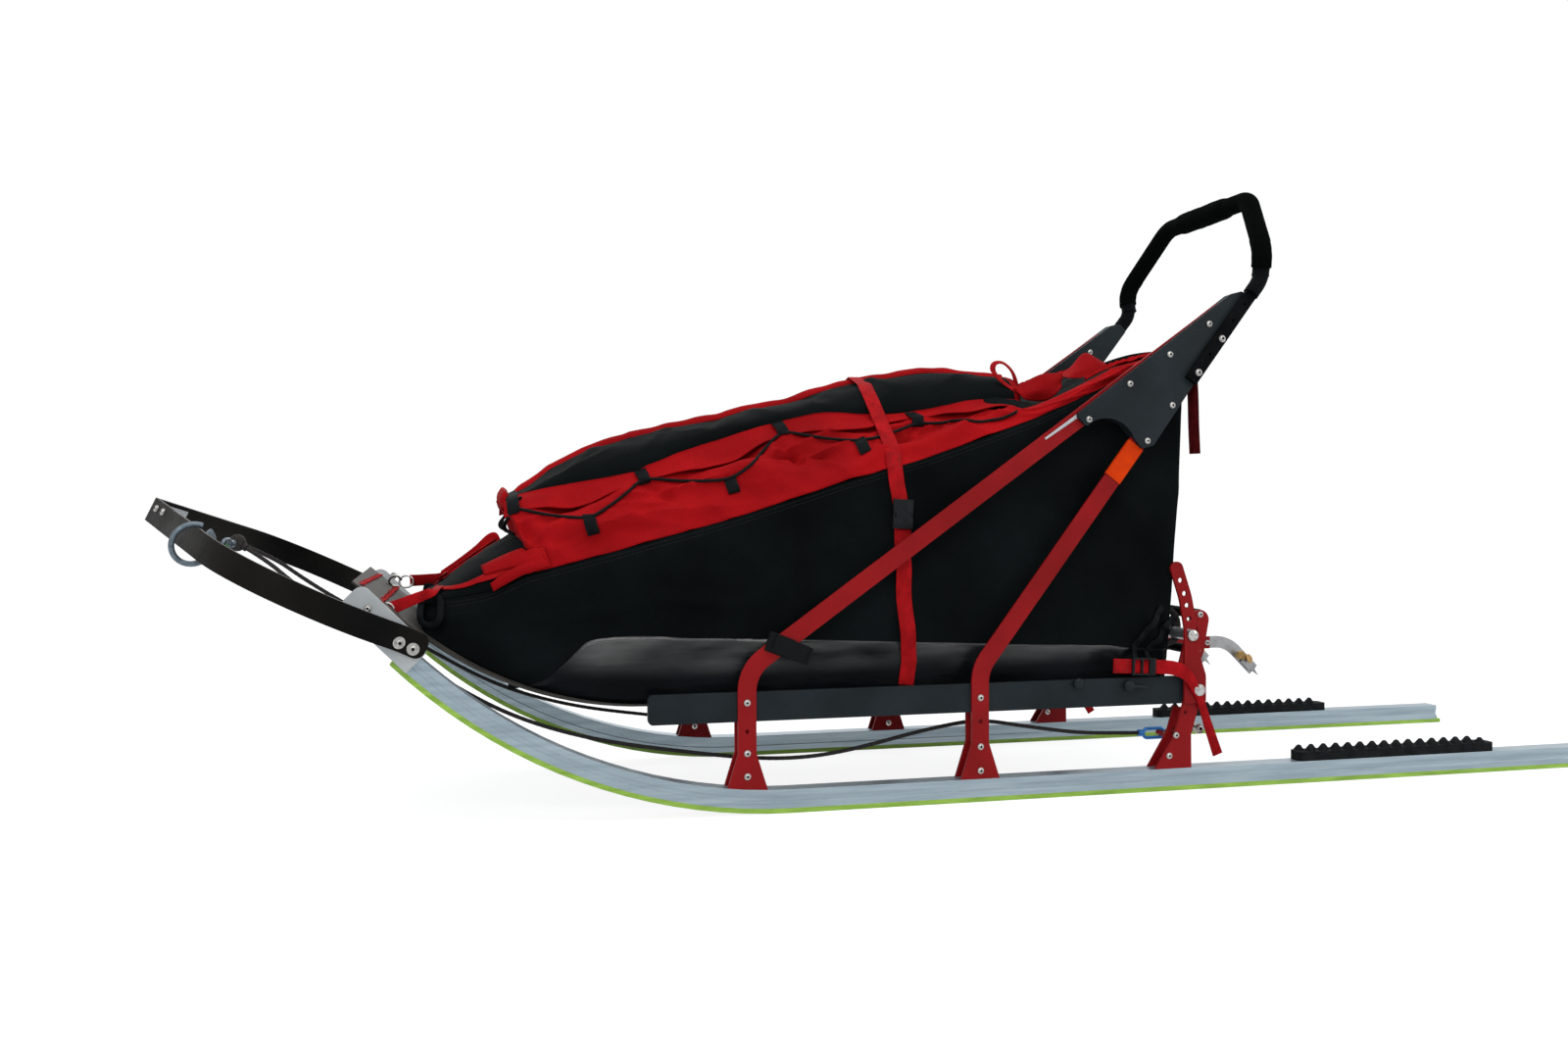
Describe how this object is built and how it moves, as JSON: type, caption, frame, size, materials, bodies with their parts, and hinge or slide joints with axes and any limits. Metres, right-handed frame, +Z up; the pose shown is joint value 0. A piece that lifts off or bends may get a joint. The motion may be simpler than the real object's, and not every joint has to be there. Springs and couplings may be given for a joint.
{
  "type": "dog sled",
  "caption": "Dog sled with two upturned runners, flat-bar posts and stays, a laced load bag, a handlebar, a bow in front and a sprung claw brake.",
  "frame": {"origin": "on the snow under the middle of the sled", "axes": "+X forward along the runners, +Y to the sled's left, +Z up"},
  "size_m": [2.627, 0.682, 1.066],
  "materials": {
    "runner_alloy": "satin",
    "lime_plastic": "satin",
    "red_alloy": "satin anodised",
    "dark_plastic": "satin",
    "dark_plate": "satin",
    "grey_plate": "satin",
    "bow_plastic": "satin",
    "bed_plastic": "matt",
    "tube_alloy": "satin",
    "black_tube": "satin",
    "zinc_steel": "satin",
    "claw_steel": "satin",
    "ring_alloy": "satin",
    "pad_rubber": "matt",
    "grip_foam": "matt",
    "red_fabric": "woven",
    "black_fabric": "woven",
    "green_cord": "braided",
    "blue_alloy": "satin anodised",
    "rope": "braided"
  },
  "bodies": {
    "sled": {"runner_rail_left": "runner_alloy", "runner_rail_right": "runner_alloy", "runner_base_left": "lime_plastic", "runner_base_right": "lime_plastic", "front_post_left": "red_alloy", "front_post_right": "red_alloy", "middle_post_left": "red_alloy", "middle_post_right": "red_alloy", "rear_post_left": "red_alloy", "rear_post_right": "red_alloy", "side_rail_left": "dark_plastic", "side_rail_right": "dark_plastic", "nose_plate_left": "grey_plate", "nose_plate_right": "grey_plate", "bow_band_left": "bow_plastic", "bow_band_right": "bow_plastic", "gusset_left": "dark_plate", "gusset_right": "dark_plate", "rear_upright_left": "red_alloy", "rear_upright_right": "red_alloy", "foot_pad_left": "pad_rubber", "foot_pad_right": "pad_rubber", "bag_side_left": "black_fabric", "bag_side_right": "black_fabric", "bag_skirt_left": "red_fabric", "bag_skirt_right": "red_fabric", "bridle_left": "rope", "bridle_right": "rope", "bridle_link_left": "blue_alloy", "bridle_link_right": "blue_alloy", "bed_sheet": "bed_plastic", "cross_tubes": "tube_alloy", "nose_tube": "tube_alloy", "bow_joint_plate": "grey_plate", "handlebar": "black_tube", "hand_grip": "grip_foam", "rear_cross_tube": "tube_alloy", "bag_lid": "black_fabric", "bag_front": "black_fabric", "bag_rear": "black_fabric", "tow_ring": "ring_alloy", "inner_foot_plates": "red_alloy", "foot_spacers": "zinc_steel", "hinge_pins": "zinc_steel", "tow_loop": "green_cord", "tow_shackle": "ring_alloy", "bridle_knot": "rope"},
    "brake": {"brake_arm_left": "red_alloy", "brake_arm_right": "red_alloy", "brake_lever_left": "red_alloy", "brake_lever_right": "red_alloy", "brake_foot_bar": "black_tube", "brake_claw_bar": "black_tube", "claw_blocks": "red_alloy", "claws": "claw_steel"}
  },
  "joints": [
    {"name": "brake_hinge", "type": "hinge", "parent": "sled", "child": "brake", "pos_m": [-0.4205, 0, 0.173], "axis": [0, -1, 0], "range_deg": [0, 44.6], "stiffness_Nm_per_rad": 2, "springref_deg": -34.38}
  ]
}
